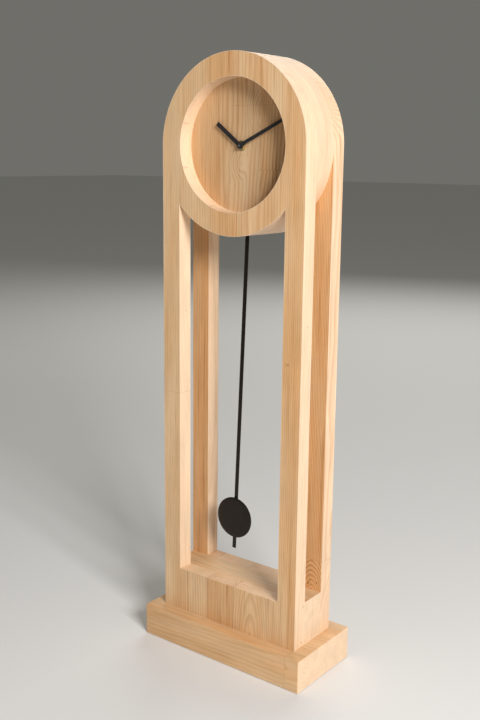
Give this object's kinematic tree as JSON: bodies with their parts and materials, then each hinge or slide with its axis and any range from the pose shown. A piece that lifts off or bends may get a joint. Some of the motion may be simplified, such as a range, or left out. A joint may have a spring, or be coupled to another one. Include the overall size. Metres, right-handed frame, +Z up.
{
  "type": "pendulum floor clock",
  "caption": "Wooden floor clock: arched front and rear boards around a round drum, deep-set dial with two hands, open window with a black pendulum, solid plinth.",
  "frame": {"origin": "middle of the base, on the surface that the felt pads rest on", "axes": "+Z up, +X to the right of someone who faces the dial, +Y to the back"},
  "size_m": [0.33, 0.153, 1],
  "materials": {
    "pine_board": "clear oiled pine, fine vertical grain",
    "pine_drum": "pale sanded pine",
    "pine_block": "clear oiled pine",
    "pine_plinth": "clear oiled pine, long horizontal grain",
    "pine_dial": "clear oiled pine, matt",
    "pine_ring": "pine, a deeper tone",
    "beech_dowel": "raw beech",
    "zinc_steel": "bright zinc",
    "grey_felt": "pressed felt",
    "black_plastic": "fine textured moulding",
    "brass_turned": "turned",
    "bright_steel": "bright",
    "white_plastic": "moulded acetal",
    "copper_wire": "enamelled copper wire",
    "magnet_grey": "sintered ferrite",
    "board_green": "solder mask",
    "chip_resin": "black epoxy",
    "battery_sleeve": "plain printed sleeve",
    "nickel_strip": "nickel plated strip",
    "hanger_plastic": "moulded",
    "pendulum_black": "satin black paint",
    "hand_black": "matt black paint"
  },
  "bodies": {
    "root": {"front_board": "pine_board", "rear_board": "pine_board", "head_drum": "pine_drum", "bottom_block": "pine_block", "plinth": "pine_plinth", "dial": "pine_dial", "dial_ring": "pine_ring", "assembly_dowels": "beech_dowel", "dial_screws": "zinc_steel", "plinth_screws": "zinc_steel", "felt_pads": "grey_felt", "movement_case_front": "black_plastic", "movement_case_back": "black_plastic", "centre_bush": "brass_turned", "bush_washer": "brass_turned", "bush_nut": "brass_turned", "motor_stator": "bright_steel", "motor_bobbin": "white_plastic", "motor_winding": "copper_wire", "circuit_board": "board_green", "clock_chip": "chip_resin", "drive_bobbin": "white_plastic", "drive_winding": "copper_wire", "battery": "battery_sleeve", "battery_contacts": "nickel_strip", "pivot_pin": "bright_steel"},
    "minute": {"minute_shaft": "bright_steel", "minute_hand": "hand_black"},
    "hour": {"hour_wheel": "white_plastic", "hour_hand": "hand_black"},
    "intermediate": {"intermediate_wheel": "white_plastic"},
    "knob": {"setting_knob": "white_plastic"},
    "rotor": {"motor_rotor": "magnet_grey"},
    "pendulum": {"pendulum_hanger": "hanger_plastic", "drive_magnet": "magnet_grey", "pendulum_rod": "pendulum_black", "pendulum_bob": "pendulum_black", "bob_clip": "pendulum_black"}
  },
  "joints": [
    {"name": "minute_turn", "type": "hinge", "parent": "root", "child": "minute", "pos_m": [0, -0.02, 0.86], "axis": [0, 1, 0], "continuous": true},
    {"name": "hour_turn", "type": "hinge", "parent": "root", "child": "hour", "pos_m": [0, -0.02, 0.86], "axis": [0, 1, 0], "continuous": true},
    {"name": "intermediate_turn", "type": "hinge", "parent": "root", "child": "intermediate", "pos_m": [0.01, -0.012, 0.86], "axis": [0, 1, 0], "continuous": true},
    {"name": "knob_turn", "type": "hinge", "parent": "root", "child": "knob", "pos_m": [0.02, -0.002, 0.86], "axis": [0, 1, 0], "continuous": true},
    {"name": "rotor_turn", "type": "hinge", "parent": "root", "child": "rotor", "pos_m": [-0.0145, -0.01, 0.874], "axis": [0, 1, 0], "continuous": true},
    {"name": "pendulum_swing", "type": "hinge", "parent": "root", "child": "pendulum", "pos_m": [0, 0, 0.888], "axis": [0, 1, 0], "range_deg": [-7.2, 2.8]}
  ],
  "couplings": [
    {"joint": "hour_turn", "follows": "minute_turn", "ratio": 0.083333},
    {"joint": "intermediate_turn", "follows": "minute_turn", "ratio": -0.33333},
    {"joint": "knob_turn", "follows": "minute_turn", "ratio": 1}
  ]
}
